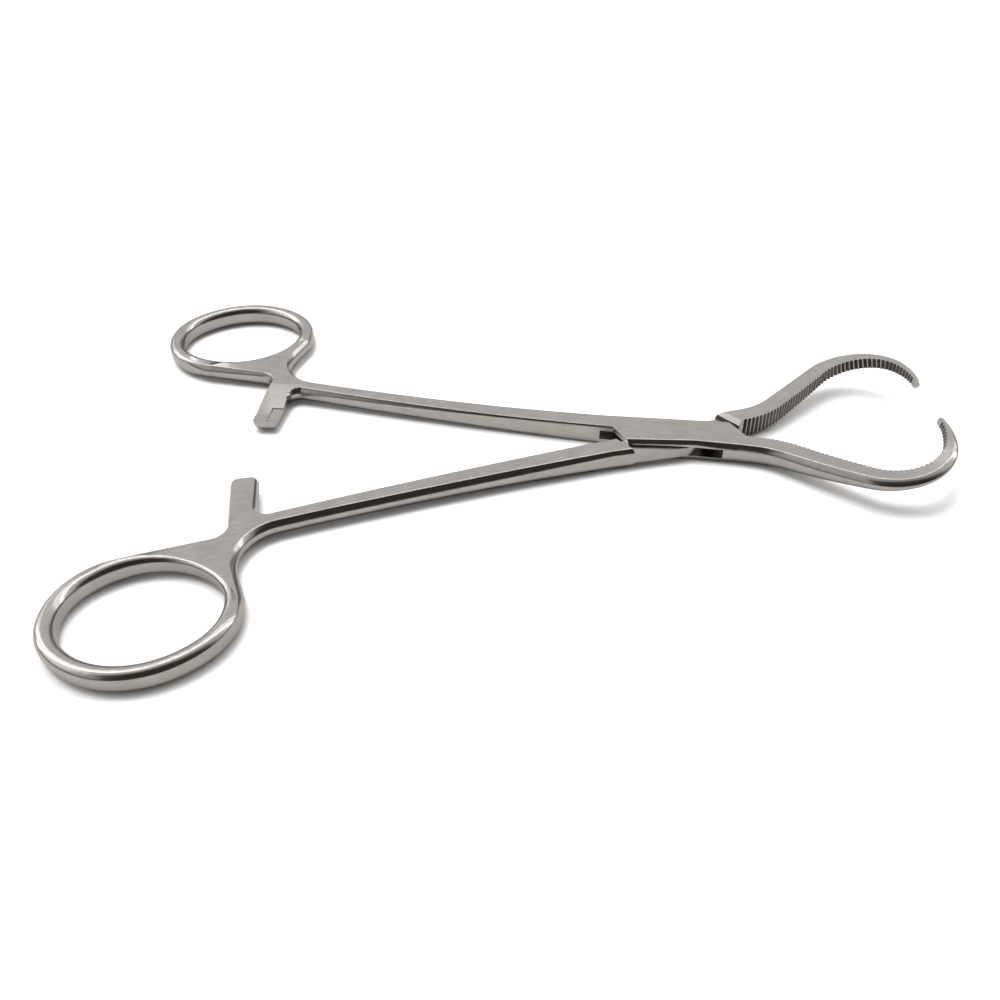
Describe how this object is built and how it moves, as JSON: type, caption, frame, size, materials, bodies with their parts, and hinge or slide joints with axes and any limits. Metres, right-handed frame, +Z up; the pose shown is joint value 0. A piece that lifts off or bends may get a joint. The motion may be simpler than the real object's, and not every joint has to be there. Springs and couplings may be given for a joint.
{
  "type": "bone holding forceps",
  "caption": "Ring-handled bone holding forceps with a box lock, long shanks, a ratchet and serrated bowed jaws that sweep upwards.",
  "frame": {"origin": "the lock pin's axis on the flat underside of the lock", "axes": "+X along the instrument from the finger rings to the jaws, +Y towards the ring of the slotted half, +Z up, square to the flat of the lock, the way the jaws sweep"},
  "size_m": [0.1808, 0.123, 0.0119],
  "materials": {
    "satin_steel": "satin ground stainless instrument steel",
    "pin_steel": "ground flush with the lock"
  },
  "bodies": {
    "box_side": {"box_half": "satin_steel", "pivot_pin": "pin_steel"},
    "tongue_side": {"tongue_half": "satin_steel"}
  },
  "joints": [
    {"name": "lock_hinge", "type": "hinge", "parent": "box_side", "child": "tongue_side", "pos_m": [0, 0, 0.0027], "axis": [0, 0, 1], "range_deg": [-12.5, 15]}
  ]
}
